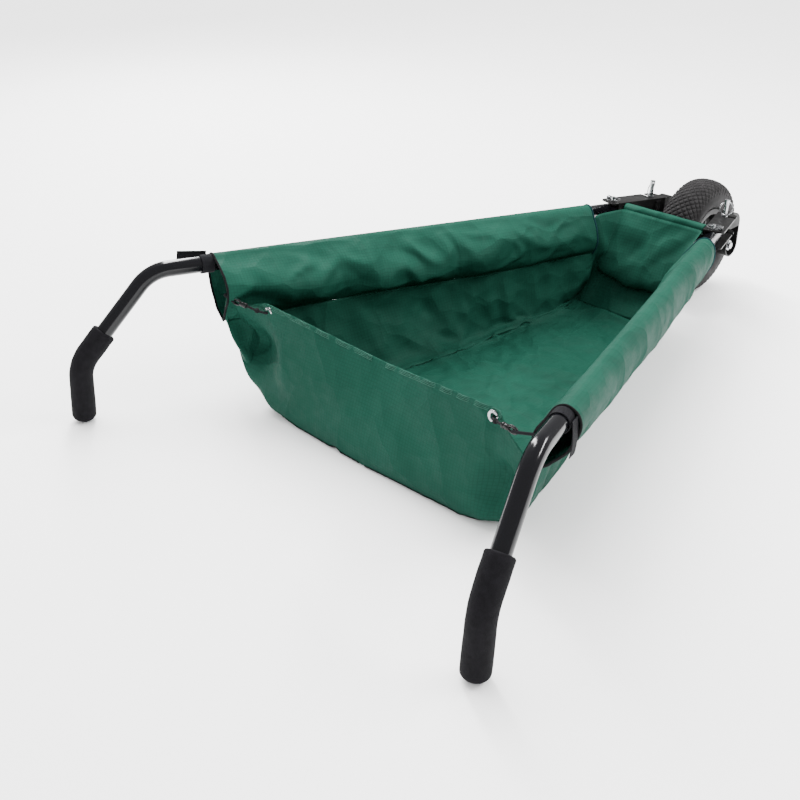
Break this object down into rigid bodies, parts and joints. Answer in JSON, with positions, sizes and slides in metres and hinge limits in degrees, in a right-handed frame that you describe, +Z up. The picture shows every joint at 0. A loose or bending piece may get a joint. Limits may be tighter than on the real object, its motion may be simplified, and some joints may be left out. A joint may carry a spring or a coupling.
{
  "type": "folding one-wheel barrow",
  "caption": "Folding one-wheel barrow: fabric tub slung between two bent steel arms with foam grips, a fork with a pneumatic wheel, and a rear flap held up by two hooked cords.",
  "frame": {"origin": "on the floor, under the middle of the whole barrow as it stands", "axes": "+Z up, +Y towards the wheel, +X to the right of someone pushing it"},
  "size_m": [0.8376, 1.2478, 0.234],
  "materials": {
    "tyre_rubber": "matte black tread rubber",
    "tube_rubber": "matte",
    "black_tube": "gloss black powder coat",
    "black_bracket": "satin black stamped steel",
    "zinc": "bright zinc",
    "bearing_steel": "ground steel",
    "grip_foam": "matte closed-cell foam",
    "green_ripstop": "coated ripstop polyester",
    "black_webbing": "woven polyester",
    "black_cord": "braided elastic",
    "black_plastic": "satin"
  },
  "bodies": {
    "frame": {"fork_arm_right": "black_bracket", "fork_arm_left": "black_bracket", "fork_bridge": "black_tube", "front_hem": "green_ripstop", "front_panel": "green_ripstop", "floor_panel": "green_ripstop", "side_panel_right": "green_ripstop", "side_panel_left": "green_ripstop", "rear_flap": "green_ripstop", "flap_eyelet_right": "zinc", "flap_eyelet_left": "zinc", "flap_cord_right": "black_cord", "flap_cord_left": "black_cord", "flap_hook_right": "black_plastic", "flap_hook_left": "black_plastic", "axle_bolt": "zinc", "axle_nut": "zinc", "axle_washer": "zinc", "axle_spacer_right": "zinc", "axle_spacer_left": "zinc", "pivot_pin_right": "zinc", "pivot_pin_left": "zinc", "pivot_clip_right": "zinc", "pivot_clip_left": "zinc"},
    "wheel": {"tyre": "tyre_rubber", "inner_tube": "tube_rubber", "rim_half_right": "black_bracket", "rim_half_left": "black_bracket", "hub_tube": "black_bracket", "wheel_bearing_right": "bearing_steel", "wheel_bearing_left": "bearing_steel", "rim_bolt_1": "zinc", "rim_bolt_2": "zinc", "rim_bolt_3": "zinc", "rim_bolt_4": "zinc", "rim_nut_1": "zinc", "rim_nut_2": "zinc", "rim_nut_3": "zinc", "rim_nut_4": "zinc", "valve_stem": "tube_rubber", "valve_cap": "black_plastic"},
    "arm_right": {"arm_tube_right": "black_tube", "foam_grip_right": "grip_foam", "tube_plug_right": "black_plastic", "sleeve_right": "green_ripstop", "sleeve_strap_right": "black_webbing", "hook_loop_right": "black_webbing"},
    "lock_pin_right": {"lock_pin_right": "zinc"},
    "lock_ring_right": {"lock_pin_ring_right": "zinc"},
    "clip_ring_right": {"pivot_clip_ring_right": "zinc"},
    "arm_left": {"arm_tube_left": "black_tube", "foam_grip_left": "grip_foam", "tube_plug_left": "black_plastic", "sleeve_left": "green_ripstop", "sleeve_strap_left": "black_webbing", "hook_loop_left": "black_webbing"},
    "lock_pin_left": {"lock_pin_left": "zinc"},
    "lock_ring_left": {"lock_pin_ring_left": "zinc"},
    "clip_ring_left": {"pivot_clip_ring_left": "zinc"}
  },
  "joints": [
    {"name": "wheel_spin", "type": "hinge", "parent": "frame", "child": "wheel", "pos_m": [0, 0.513, 0.11], "axis": [1, 0, 0], "continuous": true},
    {"name": "arm_fold_right", "type": "hinge", "parent": "frame", "child": "arm_right", "pos_m": [0.10596, 0.37716, 0.17045], "axis": [0, -0.0612, -0.9981], "range_deg": [0, 16.85], "deforming": ["floor_panel", "side_panel_right", "side_panel_left", "front_panel", "rear_flap", "flap_eyelet_right", "flap_eyelet_left", "flap_cord_right", "flap_cord_left", "flap_hook_right", "flap_hook_left"]},
    {"name": "lock_pull_right", "type": "slide", "parent": "arm_right", "child": "lock_pin_right", "axis": [0, 0.0612, 0.9981], "range_m": [0, 0.055]},
    {"name": "lock_ring_swing_right", "type": "hinge", "parent": "lock_pin_right", "child": "lock_ring_right", "pos_m": [0.079, 0.46863, 0.20782], "axis": [-0.709, -0.7039, 0.0432], "range_deg": [0, 150]},
    {"name": "clip_ring_lift_right", "type": "hinge", "parent": "frame", "child": "clip_ring_right", "pos_m": [0.11744, 0.38187, 0.19049], "axis": [-0.2899, 0.9553, -0.0586], "range_deg": [0, 100]},
    {"name": "arm_fold_left", "type": "hinge", "parent": "frame", "child": "arm_left", "pos_m": [-0.10596, 0.37716, 0.17045], "axis": [0, 0.0612, 0.9981], "range_deg": [0, 16.85]},
    {"name": "lock_pull_left", "type": "slide", "parent": "arm_left", "child": "lock_pin_left", "axis": [0, 0.0612, 0.9981], "range_m": [0, 0.055]},
    {"name": "lock_ring_swing_left", "type": "hinge", "parent": "lock_pin_left", "child": "lock_ring_left", "pos_m": [-0.079, 0.46863, 0.20782], "axis": [-0.709, 0.7039, -0.0432], "range_deg": [0, 150]},
    {"name": "clip_ring_lift_left", "type": "hinge", "parent": "frame", "child": "clip_ring_left", "pos_m": [-0.11744, 0.38187, 0.19049], "axis": [-0.2899, -0.9553, 0.0586], "range_deg": [0, 100]}
  ]
}
